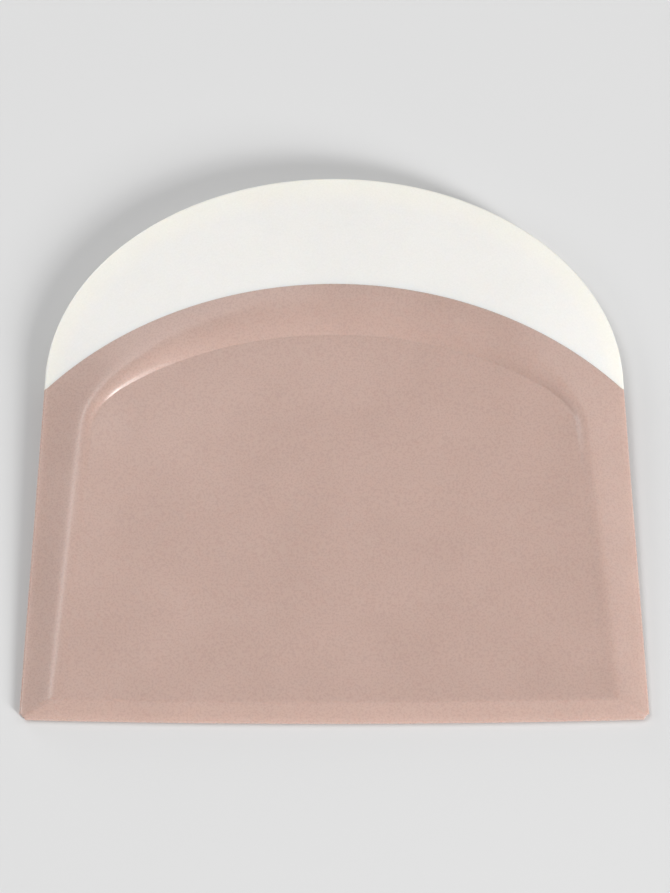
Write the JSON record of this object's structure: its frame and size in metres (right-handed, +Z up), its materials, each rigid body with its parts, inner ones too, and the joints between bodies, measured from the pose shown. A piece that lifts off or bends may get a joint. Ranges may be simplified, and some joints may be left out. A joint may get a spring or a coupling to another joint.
{
  "type": "dough scraper",
  "caption": "D-shaped silicone dough scraper in rose and white: straight bevelled edge, raised finger ridge, domed lip, and a stiff plate inside.",
  "frame": {"origin": "middle of the scraper's bounding box, on the level it lies on", "axes": "+X along the straight edge to the right as the face is read, +Y from the straight edge to the dome, +Z up out of the face"},
  "size_m": [0.1398, 0.1324, 0.0099],
  "materials": {
    "rose_silicone": "matte",
    "white_silicone": "satin",
    "natural_nylon": "matte"
  },
  "bodies": {
    "root": {"stiffener_core": "natural_nylon", "rose_blade": "rose_silicone", "white_lip": "white_silicone"}
  },
  "joints": []
}
